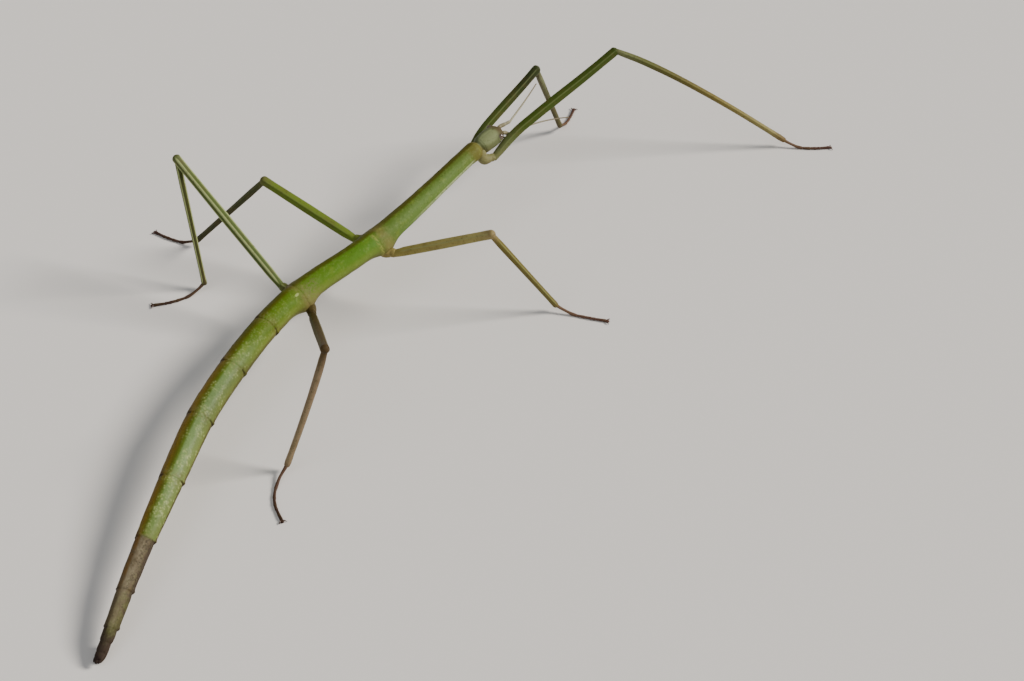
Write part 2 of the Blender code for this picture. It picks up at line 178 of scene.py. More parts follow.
def srgb(red, green, blue):
    """A linear colour from its 0 to 255 screen values."""
    values = np.array([red, green, blue]) / 255.0
    linear = np.where(values <= 0.04045, values / 12.92, ((values + 0.055) / 1.055) ** 2.4)
    return (*linear.tolist(), 1.0)


# --- Measuring the frame's solids ---


def unit(vector):
    return vector / np.linalg.norm(vector, axis=-1, keepdims=True)


def across(axis):
    """The side and up vectors square to a direction; side is to the left of it."""
    side = unit(np.cross(UP, axis))
    return side, np.cross(axis, side)


def solid_of(name):
    """A CAD node's points, in millimetres, and its edges."""
    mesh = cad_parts[name].data
    points = np.empty(len(mesh.vertices) * 3, np.float32)
    mesh.vertices.foreach_get("co", points)
    edges = np.empty(len(mesh.edges) * 2, np.int32)
    mesh.edges.foreach_get("vertices", edges)
    return points.reshape(-1, 3).astype(float) / MM, edges.reshape(-1, 2)


def middle_of(name):
    low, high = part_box(name)
    return (np.array(low) + np.array(high)) / 2 / MM


def halfway(values):
    return (values.max() + values.min()) / 2


def section_of(solid, place, axis):
    """A row of centre, half width and half height where a plane cuts a solid."""
    points, edges = solid
    ahead = (points - place) @ axis
    first, last = edges.T
    crossed = ahead[first] * ahead[last] < 0
    first, last = first[crossed], last[crossed]
    share = ahead[first] / (ahead[first] - ahead[last])
    cut = points[first] + (points[last] - points[first]) * share[:, None]
    side, up = across(axis)
    x, y = (cut - place) @ side, (cut - place) @ up
    centre = place + side * halfway(x) + up * halfway(y)
    return np.array([*centre, np.ptp(x) / 2, np.ptp(y) / 2])


def sections_of(name, axis, shares):
    """Rows along a node, and its two ends along this direction."""
    solid = solid_of(name)
    middle = solid[0].mean(axis=0)
    reach = (solid[0] - middle) @ axis
    near, far = middle + axis * reach.min(), middle + axis * reach.max()
    rows = [section_of(solid, near + (far - near) * share, axis) for share in shares]
    return np.array(rows), near, far


def slid(row, place, axis, share=1.0, more=0.0):
    """A copy of a row, moved along a direction: this share of the way to a place, and more."""
    moved = row.copy()
    moved[:3] += axis * (((place - row[:3]) @ axis) * share + more)
    return moved


def long_axis(name, start):
    """The unit vector along a long node, away from a point near one of its ends."""
    points, _ = solid_of(name)
    middle = points.mean(axis=0)
    axis = np.linalg.svd(points - middle, full_matrices=False)[2][0]
    return axis if (middle - start) @ axis > 0 else -axis


# --- Smooth lines and skins ---


def spaced(length, spacing, ends):
    """Places along a line: evenly spaced, and closer together near its round ends."""
    places = np.linspace(0.0, length, max(int(length / spacing), 4))
    near = ends * (1 - np.cos(np.linspace(0.0, np.pi / 2, 6)))
    return np.unique(np.round(np.concatenate([places, near, length - near]), 4))


def run_of(rows):
    """How far along their line each of these rows lies."""
    steps = np.linalg.norm(np.diff(rows[:, :3], axis=0), axis=1)
    return np.concatenate([[0.0], np.cumsum(steps)])


def nearest(rows, place):
    """The number of the row whose centre is nearest to a place."""
    return np.argmin(np.linalg.norm(rows[:, :3] - place, axis=1))


def smooth(rows, spacing, ends=0.3):
    """The distances along a smooth line through these rows, and the rows there."""
    rows = np.array(rows)
    reach = run_of(rows)
    slopes = np.gradient(rows, reach, axis=0)
    at = spaced(reach[-1], spacing, ends)
    i = np.clip(np.searchsorted(reach, at, side="right") - 1, 0, len(reach) - 2)
    span = (reach[i + 1] - reach[i])[:, None]
    t = (at - reach[i])[:, None] / span
    line = rows[i] * (2 * t**3 - 3 * t**2 + 1) + rows[i + 1] * (3 * t**2 - 2 * t**3)
    line += slopes[i] * span * (t**3 - 2 * t**2 + t) + slopes[i + 1] * span * (t**3 - t**2)
    return at, line


def rounded(distance, radius):
    """The share of its width that a round-ended tube has at this distance from its end."""
    gap = np.clip(1 - distance / radius, 0.0, 1.0)
    return np.sqrt(np.maximum(1 - gap**2, 0.002))


def ends_of(at, near, far):
    """The same for each ring of a tube, as a column, for round ends of these radii."""
    return (rounded(at, near) * rounded(at[-1] - at, far))[:, None]


def hump(value, middle, width):
    return np.exp(-(((value - middle) / width) ** 2))


def step(value, low, high):
    share = np.clip((value - low) / (high - low), 0.0, 1.0)
    return share * share * (3 - 2 * share)


def turned(angles, middle):
    """How far each angle is from a middle one, in degrees, the short way round."""
    return (angles - middle + 180.0) % 360.0 - 180.0


def circle(sides):
    """Angles round a ring, from its top towards its left, in degrees."""
    return np.arange(sides) * 360.0 / sides


def off_top(angles):
    """How far each angle is from the top, either way round."""
    return np.abs(turned(angles, 0.0))


def top_of(angles):
    """1 at the top of a ring, 0 at its sides and -1 underneath."""
    return np.cos(np.radians(angles))


def ringed(line, angles, proud=0.0):
    """Points of the rings round a line. proud is how far each stands out from its oval."""
    centres = line[:, :3]
    side, up = across(unit(np.gradient(centres, axis=0)))
    turn = np.radians(angles)
    out = (line[:, 3:4] + proud) * np.sin(turn)
    rise = (line[:, 4:5] + proud) * np.cos(turn)
    return centres[:, None] + side[:, None] * out[..., None] + up[:, None] * rise[..., None]


def placed(name, data):
    """A new object in the scene."""
    thing = bpy.data.objects.new(name, data)
    bpy.context.scene.collection.objects.link(thing)
    return thing


class Skin:
    """Closed shells gathered into one mesh, with painted qualities at every point."""

    def __init__(self, name, qualities=()):
        self.name = name
        self.points = []
        self.faces = []
        self.qualities = {quality: [] for quality in qualities}
        self.count = 0

    def add(self, rings, **values):
        """A tube through these rings, closed at both ends by a fan."""
        rows, sides = rings.shape[:2]
        index = np.arange(rows * sides).reshape(rows, sides) + self.count
        beside = np.roll(index, -1, axis=1)
        walls = np.stack([index[:-1], index[1:], beside[1:], beside[:-1]], axis=-1)
        self.faces += walls.reshape(-1, 4).tolist()
        tip = self.count + rows * sides
        self.faces += [(tip, a, b) for a, b in zip(index[0].tolist(), beside[0].tolist())]
        self.faces += [(tip + 1, b, a) for a, b in zip(index[-1].tolist(), beside[-1].tolist())]
        self.points += [rings.reshape(-1, 3), rings[[0, -1]].mean(axis=1)]
        self.count = tip + 2
        for quality, stored in self.qualities.items():
            grid = np.broadcast_to(values.get(quality, 0.0), (rows, sides))
            stored += [grid.reshape(-1), grid[[0, -1]].mean(axis=1)]

    def build(self, material, slot, *nodes):
        mesh = bpy.data.meshes.new(self.name)
        points = np.concatenate(self.points) * MM
        mesh.from_pydata(points.tolist(), [], self.faces)
        mesh.shade_smooth()
        for quality, stored in self.qualities.items():
            layer = mesh.attributes.new(quality, "FLOAT", "POINT")
            layer.data.foreach_set("value", np.concatenate(stored).astype(np.float32))
        mesh.materials.append(material)
        thing = placed(self.name, mesh)
        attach(thing, "root")
        if nodes:
            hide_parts(*nodes)


# --- Materials ---

# Each colour's place is the number of segments between it and the front of the head.
BODY_STOPS = [
    (0.0, 86, 70, 48), (0.2, 94, 84, 56), (0.38, 102, 108, 72),
    (0.95, 104, 114, 74), (1.05, 110, 105, 50), (1.75, 102, 104, 42),
    (2.2, 84, 104, 34), (2.9, 84, 107, 34), (3.04, 82, 122, 28),
    (4.0, 84, 115, 20), (5.0, 84, 108, 20), (6.5, 90, 112, 34),
    (8.97, 90, 108, 38), (9.03, 100, 88, 66), (10.0, 98, 86, 64),
    (10.8, 92, 80, 56), (11.1, 66, 56, 40), (13.2, 58, 46, 38),
    (14.0, 42, 28, 26),
]

# How strongly each tint covers the colours under it, and its tone.
BODY_TINTS = {
    "wax_and_highlight": (0.75, 126, 150, 96),
    "right_flank_past_highlight": (0.6, 108, 118, 62),
    "lit_right_chest": (0.65, 100, 126, 62),
    "left_flank_shade": (0.4, 92, 76, 18),
    "left_shade": (0.8, 84, 76, 12),
    "left_shade_bounce": (0.75, 134, 104, 34),
    "underside": (0.6, 104, 104, 52),
    "dark_side_edge_and_shade": (0.8, 56, 36, 16),
    "lit_right_side": (0.4, 132, 138, 66),
    "right_brink_shade": (0.55, 92, 88, 48),
    "right_hip_tone": (0.5, 128, 118, 78),
    "right_edge_highlight": (0.72, 180, 188, 142),
    "joint_stain_and_shade": (1.0, 78, 48, 14),
    "joint_beige": (0.35, 142, 130, 84),
    "seam": (0.85, 44, 30, 12),
    "hip": (0.8, 104, 92, 52),
    "waist": (0.6, 128, 112, 66),
    "fold": (0.55, 160, 160, 78),
    "crown": (0.55, 150, 158, 110),
    "spot": (0.75, 176, 190, 112),
    "dark_mottle": (0.35, 58, 62, 16),
    "light_mottle": (0.35, 130, 144, 50),
    "tail_dots": (0.75, 42, 32, 20),
    "amber": (0.8, 118, 84, 34),
    "silver": (0.55, 146, 134, 110),
    "tail_right_shade": (0.85, 60, 48, 38),
    "tail_mottle": (0.55, 62, 52, 40),
    "olive": (0.5, 88, 90, 46),
    "granules": (1.0, 190, 200, 132),
}
BODY_QUALITIES = ("body", "top", "left", "rim", "seam", "speck", "hip", "band")

LEFT_COXA = (0.0, 104, 90, 52)
LEFT_FOOT = [(3.1, 78, 58, 44), (4.0, 62, 42, 36)]
# Each colour's place along a leg: coxa 0 to 1, femur to 2, tibia to 3, foot to 4.
LEG_STOPS = {
    "front_left": [
        (0.0, 104, 98, 60), (1.1, 70, 82, 34), (1.4, 68, 80, 30),
        # The pale start of the tibia is a painted highlight.
        (1.8, 44, 52, 24), (1.95, 54, 62, 30), (2.1, 114, 118, 84),
        (2.5, 94, 94, 60), (2.9, 88, 84, 52), (3.1, 104, 78, 58),
        (4.0, 78, 52, 44),
    ],
    "front_right": [
        (0.0, 134, 130, 86), (0.95, 122, 120, 76), (1.08, 98, 104, 62),
        (1.24, 62, 78, 22), (1.95, 56, 70, 18), (2.04, 108, 112, 72),
        (2.16, 92, 96, 48), (2.32, 98, 92, 44), (2.56, 124, 110, 56),
        (2.88, 146, 136, 84), (2.96, 120, 98, 62), (3.1, 112, 88, 66),
        (4.0, 80, 54, 48),
    ],
    "middle_left": [
        LEFT_COXA, (1.1, 100, 118, 38), (1.85, 100, 118, 38),
        (1.98, 96, 96, 56), (2.1, 70, 74, 44), (2.9, 60, 60, 36), *LEFT_FOOT,
    ],
    "middle_right": [
        (0.0, 120, 104, 66), (1.1, 150, 138, 74), (1.8, 160, 148, 88),
        (1.98, 146, 128, 86), (2.1, 112, 102, 48), (2.9, 110, 102, 52),
        (3.1, 114, 88, 68), (4.0, 88, 60, 52),
    ],
    "hind_left": [
        LEFT_COXA, (1.1, 78, 94, 42), (1.8, 82, 98, 42),
        (1.98, 92, 98, 58), (2.1, 72, 78, 38), (2.9, 68, 68, 38), *LEFT_FOOT,
    ],
    "hind_right": [
        (0.0, 94, 84, 46), (0.9, 66, 54, 24), (1.1, 62, 49, 15),
        (1.8, 74, 56, 24), (2.0, 74, 58, 36), (2.2, 132, 112, 86),
        (2.9, 146, 126, 96), (3.05, 90, 66, 52), (4.0, 54, 34, 28),
    ],
}
LEG_PARTS = 4
# How pale the crests of each leg's ridges are, in the order of LEGS: pale crests, which on the
# hind left leg stand for a painted highlight line.
LEG_CREST_HIGHLIGHTS = dict(zip(LEGS, (0.16, 0.1, 0.12, 0.28, 0.9, 0.1)))


class Paint:
    """A Principled material in the making, with short ways to add its nodes."""

    def __init__(self, name, roughness, specular=0.5, coat=0.0, coat_roughness=0.2):
        self.material = bpy.data.materials.new(name)
        self.material.use_nodes = True
        self.tree = self.material.node_tree
        self.shader = self.tree.nodes["Principled BSDF"]
        self.fill(self.shader, Roughness=roughness, Specular_IOR_Level=specular)
        self.fill(self.shader, Coat_Weight=coat, Coat_Roughness=coat_roughness)
        self.place = self.tree.nodes.new("ShaderNodeTexCoord").outputs["Object"]
        self.colour = None

    def plug(self, socket, value):
        if isinstance(value, bpy.types.NodeSocket):
            self.tree.links.new(value, socket)
        else:
            socket.default_value = value

    def fill(self, node, **sockets):
        for name, value in sockets.items():
            self.plug(node.inputs[name.replace("_", " ")], value)

    def add(self, kind, **sockets):
        node = self.tree.nodes.new("ShaderNode" + kind)
        self.fill(node, **sockets)
        return node

    def quality(self, name):
        node = self.add("Attribute")
        node.attribute_name = name
        return node.outputs["Fac"]

    def noise(self, size, detail=3.0, roughness=0.55):
        """Cloudy noise whose blotches are about this many millimetres across."""
        node = self.add("TexNoise", Vector=self.place, Scale=1.0 / (size * MM), Detail=detail)
        self.fill(node, Roughness=roughness)
        return node.outputs["Fac"]

    def cells(self, size):
        """Distance from the nearest of many points this many millimetres apart."""
        node = self.add("TexVoronoi", Vector=self.place, Scale=1.0 / (size * MM))
        return node.outputs["Distance"]

    def math(self, operation, first, second=0.0):
        node = self.add("Math")
        node.operation = operation
        self.plug(node.inputs[0], first)
        self.plug(node.inputs[1], second)
        return node.outputs[0]

    def times(self, *values):
        product = values[0]
        for value in values[1:]:
            product = self.math("MULTIPLY", product, value)
        return product

    def fade(self, value, low, high):
        """0 below low and 1 above high, or the other way round if low is above high."""
        node = self.add("MapRange", Value=value, From_Min=low, From_Max=high)
        node.interpolation_type = "SMOOTHSTEP"
        return node.outputs["Result"]

    def stretch(self, value, start, full, wane, end):
        """1 between full and wane, fading to 0 at start and at end."""
        return self.times(self.fade(value, start, full), self.fade(value, end, wane))

    def spot(self, *places):
        """A soft round spot, from (value, middle, radius) for each of its directions."""
        square = 0.0
        for value, middle, radius in places:
            share = self.math("DIVIDE", self.math("SUBTRACT", value, middle), radius)
            square = self.math("ADD", self.times(share, share), square)
        return self.fade(square, 1.2, 0.4)

    def ramp(self, value, stops, span=1.0):
        """Starts the colour from tones at places along a value that runs from 0 to span."""
        node = self.add("ValToRGB", Fac=self.times(value, 1 / span))
        band = node.color_ramp
        while len(band.elements) < len(stops):
            band.elements.new(0.5)
        for element, (place, *tone) in zip(band.elements, stops):
            element.position = place / span
            element.color = srgb(*tone)
        self.colour = node.outputs["Color"]

    def tint(self, tone, *shares):
        """Lays a tone over the colour, as strongly as the product of these shares."""
        node = self.add("Mix")
        node.data_type = "RGBA"
        self.plug(node.inputs["Factor"], self.times(*shares))
        self.plug(node.inputs[6], self.colour)
        self.plug(node.inputs[7], srgb(*tone))
        self.colour = node.outputs[2]

    def finish(self, roughness=None, height=None, depth=0.02):
        """Links the colour, a roughness and a bump of this many millimetres."""
        self.fill(self.shader, Base_Color=self.colour)
        if roughness is not None:
            self.fill(self.shader, Roughness=roughness)
        if height is not None:
            bump = self.add("Bump", Distance=depth * MM, Height=height)
            self.fill(self.shader, Normal=bump.outputs["Normal"])
        return self.material


class BodyPaint(Paint):
    """The skin of head, trunk and tail. body counts the segments from the front of the
    head; top and left run from 1 at the top and on the left to -1 opposite."""

    def __init__(self):
        super().__init__("body_skin", 0.45, 0.12)
        self.body, self.top, self.left = map(self.quality, BODY_QUALITIES[:3])
        self.ramp(self.body, BODY_STOPS, SEGMENTS)
        self.cloud, self.fine = self.noise(1.6, 4.0), self.noise(0.3, 3.0)
        self.green = self.stretch(self.body, 1.0, 1.3, 8.98, 9.02)
        self.tail = self.along(8.98, 9.02)
        self.abdomen = self.times(self.along(5.2, 6.6), self.green)
        # Pale streak on the right of the abdomen's back: some waxy bloom, mostly a painted
        # highlight where the light falls.
        self.wax_and_highlight = self.times(
            self.abdomen,
            self.aside(-0.02, -0.22),
            self.up(0.1, 0.6),
            self.along(9.6, 7.8),
        )

    def along(self, low, high):
        return self.fade(self.body, low, high)

    def up(self, low, high):
        return self.fade(self.top, low, high)

    def aside(self, low, high):
        return self.fade(self.left, low, high)

    def grains(self, low, high):
        return self.fade(self.fine, low, high)

    def patches(self, low, high):
        return self.fade(self.cloud, low, high)

    def lay(self, name, *shares):
        strength, *tone = BODY_TINTS[name]
        self.tint(tone, strength, *shares)

    def on_right(self):
        return self.aside(0.0, -0.5)

    def paint_side_light_and_shade(self):
        # Painted highlight, with some waxy bloom, right of the abdomen's midline.
        self.lay("wax_and_highlight", self.wax_and_highlight)
        # Mid green on the far right of the abdomen, where the painted highlight gives way.
        self.lay("right_flank_past_highlight", self.aside(-0.45, -0.8), self.abdomen)
        # Painted light: the right side of the thorax paler, where it faces the light.
        chest = self.stretch(self.body, 1.7, 2.2, 2.6, 3.3)
        self.lay("lit_right_chest", self.aside(0.0, -0.55), chest)
        # Painted shade: the left side darker olive, as it is turned away from the light.
        self.lay("left_flank_shade", self.aside(-0.2, 0.2), self.up(0.9, 0.35), self.green)
        self.lay("left_shade", self.aside(-0.12, 0.26), self.green)
        # Painted shade on the left of the abdomen, warmed brown by painted light bounced into it.
        self.lay("left_shade_bounce", self.aside(0.1, 0.55), self.abdomen)

    def colour_edges(self):
        """The underside, the dark line where it meets the back, partly painted shade, and painted
        light, shade and highlight on the right side.
        """
        self.lay("underside", self.up(-0.25, -0.7), self.green)
        # A dark line where the underside meets the back: partly the real side line, partly
        # painted shade along it.
        edge = self.stretch(self.top, -0.34, -0.16, 0.04, 0.17)
        self.lay("dark_side_edge_and_shade", edge, self.along(4.0, 5.0))
        # Painted light: the right side from the metathorax back paler, where it faces the light.
        behind_waist = self.stretch(self.body, 2.9, 3.15, 6.2, 8.9)
        self.lay("lit_right_side", self.on_right(), self.up(0.7, 0.2), behind_waist)
        # Painted shade under the right side.
        low = self.times(self.up(0.06, -0.12), self.green, self.along(2.9, 3.15))
        self.lay("right_brink_shade", self.on_right(), low)
        # A paler, grainy tone on the right side at the hind hips.
        hips = self.stretch(self.body, 3.72, 3.86, 3.97, 4.03)
        self.lay("right_hip_tone", hips, self.aside(0.1, -0.5), self.grains(0.35, 0.6))
        # Painted highlight: a pale line along the lower right edge of the mesothorax.
        line = self.times(self.stretch(self.top, -0.2, -0.1, 0.06, 0.16), self.aside(0.2, -0.2))
        chest = self.stretch(self.body, 1.7, 2.06, 2.3, 2.8)
        self.lay("right_edge_highlight", line, chest, self.grains(0.3, 0.52))

    def mark_joints(self):
        """Stains and dark seams where the segments of the abdomen meet; the stains are stronger
        on the left, as painted shade.
        """
        rim, seam = self.quality("rim"), self.quality("seam")
        blotches = self.times(self.patches(0.36, 0.56), self.along(11.0, 10.0))
        # The extra strength on the left stands for painted shade.
        more_in_left_shade = self.math("ADD", self.times(self.aside(-0.1, 0.3), 0.6), 0.35)
        self.lay("joint_stain_and_shade", rim, self.up(0.96, 0.7), blotches, more_in_left_shade)
        self.lay("joint_beige", rim, self.up(0.6, 0.9), self.grains(0.4, 0.6), self.green)
        dash = self.math("MAXIMUM", self.aside(0.35, 0.6), self.aside(-0.82, -0.96))
        self.lay("seam", seam, dash)

    def mark_hips_and_head(self):
        self.lay("hip", self.quality("hip"))
        self.lay("waist", self.quality("band"), self.patches(0.3, 0.6))
        fold = self.stretch(self.body, 2.985, 3.01, 3.01, 3.05)
        self.lay("fold", fold, self.aside(0.1, -0.1), self.grains(0.4, 0.6))
        # Painted highlight: a soft pale patch on the crown of the head.
        crown = self.times(
            self.spot((self.body, 0.66, 0.44), (self.left, -0.34, 0.8)),
            self.up(0.0, 0.5),
        )
        self.lay("crown", crown, crown)
        self.lay("spot", self.spot((self.body, 4.13, 0.06), (self.left, -0.52, 0.1)))

    def mottle(self):
        self.lay("dark_mottle", self.grains(0.56, 0.72))
        self.lay("light_mottle", self.patches(0.52, 0.75), self.green)

    def colour_tail(self):
        dots = self.fade(self.cells(0.55), 0.3, 0.12)
        self.lay("tail_dots", self.tail, dots, self.grains(0.38, 0.5))
        left = self.times(self.stretch(self.left, 0.0, 0.4, 0.6, 0.9), self.along(10.3, 9.5))
        self.lay("amber", self.tail, left, self.patches(0.3, 0.55))
        middle = self.stretch(self.left, -0.62, -0.3, 0.05, 0.35)
        silver = self.times(middle, self.along(11.4, 10.9))
        self.lay("silver", self.tail, silver, self.patches(0.25, 0.6))
        # Painted shade down the right flank of the tail.
        self.lay("tail_right_shade", self.tail, self.on_right(), self.up(0.78, 0.3))
        right = self.times(self.aside(0.05, -0.4), self.along(10.6, 9.8))
        self.lay("tail_mottle", self.tail, right, self.grains(0.48, 0.6))
        end = self.times(self.stretch(self.body, 9.9, 10.3, 11.3, 11.9), self.aside(0.4, 0.0))
        self.lay("olive", end, self.patches(0.35, 0.6))

    def add_granule_glints(self):
        # Painted glints: pale points on the granules, right of the midline where the light falls.
        where = self.math("ADD", self.green, self.times(self.tail, 0.35))
        patches = self.times(self.aside(0.3, 0.02), self.patches(0.34, 0.56))
        strength = self.math("ADD", self.times(self.abdomen, 0.4), 0.25)
        self.lay("granules", self.quality("speck"), where, patches, strength)


def body_paint():
    paint = BodyPaint()
    paint.paint_side_light_and_shade()
    paint.colour_edges()
    paint.mark_joints()
    paint.mark_hips_and_head()
    paint.mottle()
    paint.colour_tail()
    paint.add_granule_glints()
    rough = paint.math("ADD", paint.times(paint.fine, 0.2), 0.46)
    # Smoother where the wax and the painted highlight lie.
    rough = paint.math("SUBTRACT", rough, paint.times(paint.wax_and_highlight, 0.16))
    return paint.finish(rough, paint.fine, 0.03)


def leg_paint(name):
    paint = Paint(f"leg_skin_{name}", 0.5, 0.12)
    stripe = LEG_CREST_HIGHLIGHTS[name]
    paint.ramp(paint.quality("reach"), LEG_STOPS[name], LEG_PARTS)
    cloud, fine = paint.noise(1.3, 4.0), paint.noise(0.3, 3.0)
    paint.tint((96, 80, 44), 0.35, paint.fade(cloud, 0.45, 0.7))
    crest = paint.fade(paint.quality("ridge"), 0.55 - 0.58 * stripe, 0.95 - 0.4 * stripe)
    # Paler ridge crests; on the hind left leg mostly a painted highlight line.
    paint.tint((168, 178, 118), stripe, crest)
    paint.tint((70, 56, 30), 0.45, paint.fade(paint.quality("top"), -0.2, -0.8))
    paint.tint((54, 44, 24), 0.4, paint.fade(fine, 0.55, 0.7))
    rough = paint.math("ADD", paint.times(fine, 0.25), 0.4)
    return paint.finish(rough, fine, 0.02)


def eye_paint():
    paint = Paint("eye_glass", 0.16, 0.6, 0.6, 0.08)
    paint.ramp(paint.noise(0.5, 2.0), [(0.35, 62, 46, 40), (0.65, 104, 86, 70)])
    return paint.finish(None, paint.cells(0.035), 0.006)


def feeler_paint():
    paint = Paint("feeler_skin", 0.45, 0.4)
    stops = [(0.0, 128, 118, 84), (0.25, 172, 166, 136), (1.0, 120, 104, 78)]
    paint.ramp(paint.quality("reach"), stops)
    paint.tint((98, 82, 56), 0.4, paint.quality("ridge"))
    return paint.finish(None, paint.noise(0.15, 2.0), 0.01)


def mouth_paint():
    paint = Paint("mouth_skin", 0.45, 0.3)
    paint.ramp(paint.noise(0.5, 3.0), [(0.35, 88, 70, 40), (0.65, 116, 104, 66)])
    return paint.finish(None, paint.noise(0.15, 2.0), 0.01)


def claw_paint():
    paint = Paint("claw_horn", 0.3, 0.5, 0.3, 0.2)
    paint.ramp(paint.quality("reach"), [(0.0, 88, 58, 46), (1.0, 40, 24, 20)])
    return paint.finish(None, paint.noise(0.1, 2.0), 0.005)


def floor_paint():
    paint = Paint("floor_card", 0.7, 0.2)
    paint.colour = srgb(*FLOOR_TONE)
    return paint.finish()


# --- Trunk and head ---


def trunk_rows():
    """Rows of centre and half sizes from the tail's tip to the head, and the segments' seams."""
    order = [*reversed(TRUNK), "head"]
    axes = unit(np.gradient([middle_of(name) for name in order], axis=0))
    rows, seams = [], []
    for name, axis in zip(order, axes):
        found, near, end = sections_of(name, axis, END_SHARES.get(name, SEGMENT_SHARES))
        if rows:
            seams.append((near + far) / 2)
        rows += list(found)
        far = end
    tip, front = rows[0].copy(), slid(rows[-1], far, axis)
    tip[:3] -= TIP_OFFSET
    front[3:] *= HEAD_FRONT
    return [tip, *rows, front], seams


class Along:
    """Where each ring of the trunk is from the tail's tip on, in columns with a row per ring."""

    def __init__(self, at, line, seams):
        seam_rings = [nearest(line, seam) for seam in seams]
        joints = np.array([0.0, *at[seam_rings], at[-1]])
        # The skin's folds hide the seams of the solids: from the median segment to the
        # seventh of the abdomen each lies a little behind.
        joints[PLAIN_TAIL_SEGMENTS + 1 : SEGMENTS - THORAX_SEGMENTS - 1] -= SEAM_SHIFT
        self.at = at = at[:, None]
        index = np.clip(np.searchsorted(joints, at, side="right") - 1, 0, SEGMENTS - 1)
        self.neck = joints[SEGMENTS - 1]
        self.waist = joints[SEGMENTS - 3]
        self.hips = joints[SEGMENTS - 4]
        self.to_rear = at - joints[index]
        self.to_front = joints[index + 1] - at
        self.to_joint = np.minimum(self.to_rear, self.to_front)
        # The number of segments passed from the front of the head.
        self.body = SEGMENTS - index - self.to_rear / (self.to_rear + self.to_front)
        self.in_head = index == SEGMENTS - 1
        self.in_abdomen = index < SEGMENTS - 1 - THORAX_SEGMENTS
        self.in_thorax = ~self.in_abdomen & ~self.in_head
        self.lipped = self.in_abdomen & (index >= PLAIN_TAIL_SEGMENTS)


def trunk_relief(along, angles):
    """How far the trunk's skin stands out, at the joints between segments and on ridges."""
    off = off_top(angles)
    lip = LIP_HEIGHT * step(along.to_rear, 1.5, 0.1) * along.lipped
    tuck = TUCK_DEPTH * step(along.to_front, 0.9, 0.0) * along.in_abdomen
    groove = np.where(along.in_abdomen, GROOVE_DEPTH, THORAX_GROOVE)
    groove *= hump(along.to_joint, 0.0, 0.12)
    groove = np.where(np.abs(along.at - along.neck) < NECK_REACH, 0.0, groove)
    proud = lip - tuck - groove * (0.35 + 0.65 * step(off, 15.0, 60.0))
    corner = hump(along.to_rear, 0.22, 0.26) * along.lipped
    proud += CORNER_HEIGHT * corner * hump(off, FLANK_ANGLE, 12.0)
    flank = along.in_abdomen * step(along.to_front, 0.1, 1.0)
    proud += FLANK_RIDGE * flank * hump(off, FLANK_ANGLE, 6.0)
    chest = along.in_thorax * step(along.to_joint, 0.1, 1.0)
    ridges = BACK_RIDGE * hump(off, 0.0, 4.5) + SIDE_RIDGE * hump(off, 100.0, 5.0)
    proud += chest * ridges
    proud -= BELLY_DEPTH * hump(off, 180.0, 34.0) * ~along.in_head
    return proud - NECK_DEPTH * hump(along.at, along.neck, NECK_WIDTH)


def add_trunk():
    """One skin over the head and trunk. Its rows place the legs and the tail afterwards."""
    rows, seams = trunk_rows()
    at, line = smooth(rows, SKIN_SPACING, 0.6)
    along = Along(at, line, seams)
    angles = circle(SKIN_SIDES)
    proud = trunk_relief(along, angles)
    sculpt_head(proud, angles, line, along.in_head)
    hips, swell = hip_fields(at, line, angles)
    proud += swell
    rings = ringed(line, angles, proud)
    proud += roughened(rings, BUMP_SIZE, BUMP_HEIGHT) * ~along.in_head
    speck = granules(along, angles, line[:, 3])
    proud += speck * GRANULE_HEIGHT
    ends = ends_of(at, TAIL_ROUNDING, HEAD_ROUNDING)
    line[:, 3:] *= ends
    rim = step(along.to_rear, 1.6, 0.2) + hump(along.to_front, 0.0, 1.0)
    seam = hump(along.to_joint, 0.0, 0.13)
    band = hump(along.at, along.waist + 1.1, 1.0) + 0.7 * hump(along.at, along.hips, 0.8)
    skin = Skin("body_skin", BODY_QUALITIES)
    skin.add(
        ringed(line, angles, proud * ends),
        body=along.body,
        top=top_of(angles),
        left=np.sin(np.radians(angles)),
        rim=rim * along.in_abdomen,
        seam=seam * along.in_abdomen,
        speck=speck,
        hip=hips,
        band=band,
    )
    skin.build(body_paint(), "abdomen_cuticle", *TRUNK, "head")
    return line


def roughened(rings, size, height):
    """A slight unevenness of the surface, in hollows and swellings of this size."""
    shape = rings.shape[:2]
    flat = (rings.reshape(-1, 3) / size).tolist()
    return height * np.array([noise.noise(place) for place in flat]).reshape(shape)


def granules(along, angles, wide):
    """How strongly a round granule shows at each point of the back. The same values set its
    height and its painted glint.
    """
    rng = np.random.default_rng(GRANULE_SEED)
    at = along.at[:, 0]
    place = rng.uniform(0.02, 0.985, GRANULES) * at[-1]
    lean = rng.normal(GRANULE_LEAN, GRANULE_SPREAD, GRANULES)
    strength = rng.uniform(0.3, 1.0, GRANULES) ** 2
    radius = GRANULE_RADIUS * (0.6 + 0.6 * strength)
    speck = np.zeros((len(at), len(angles)))
    ring = np.searchsorted(at, place)
    column = np.round(lean / 360.0 * len(angles)).astype(int)
    for ahead in range(-3, 4):
        for beside in range(-3, 4):
            rows = np.clip(ring + ahead, 0, len(at) - 1)
            columns = (column + beside) % len(angles)
            aside = np.radians(turned(angles[columns], lean)) * wide[rows]
            distance = np.hypot(at[rows] - place, aside)
            np.maximum.at(speck, (rows, columns), strength * hump(distance, 0.0, radius))
    # None on the head, half as strong on the thorax, and all of it on the abdomen.
    return speck * np.interp(along.body, (1.0, 1.3, 4.0, 5.0), (0.0, 0.5, 0.5, 1.0))


def angle_round(line, ring, middle):
    """The angle round a ring of the trunk at which a place lies."""
    side, up = across(unit(np.gradient(line[:, :3], axis=0)))
    away = middle - line[ring, :3]
    return np.degrees(np.arctan2(away @ side[ring], away @ up[ring]))


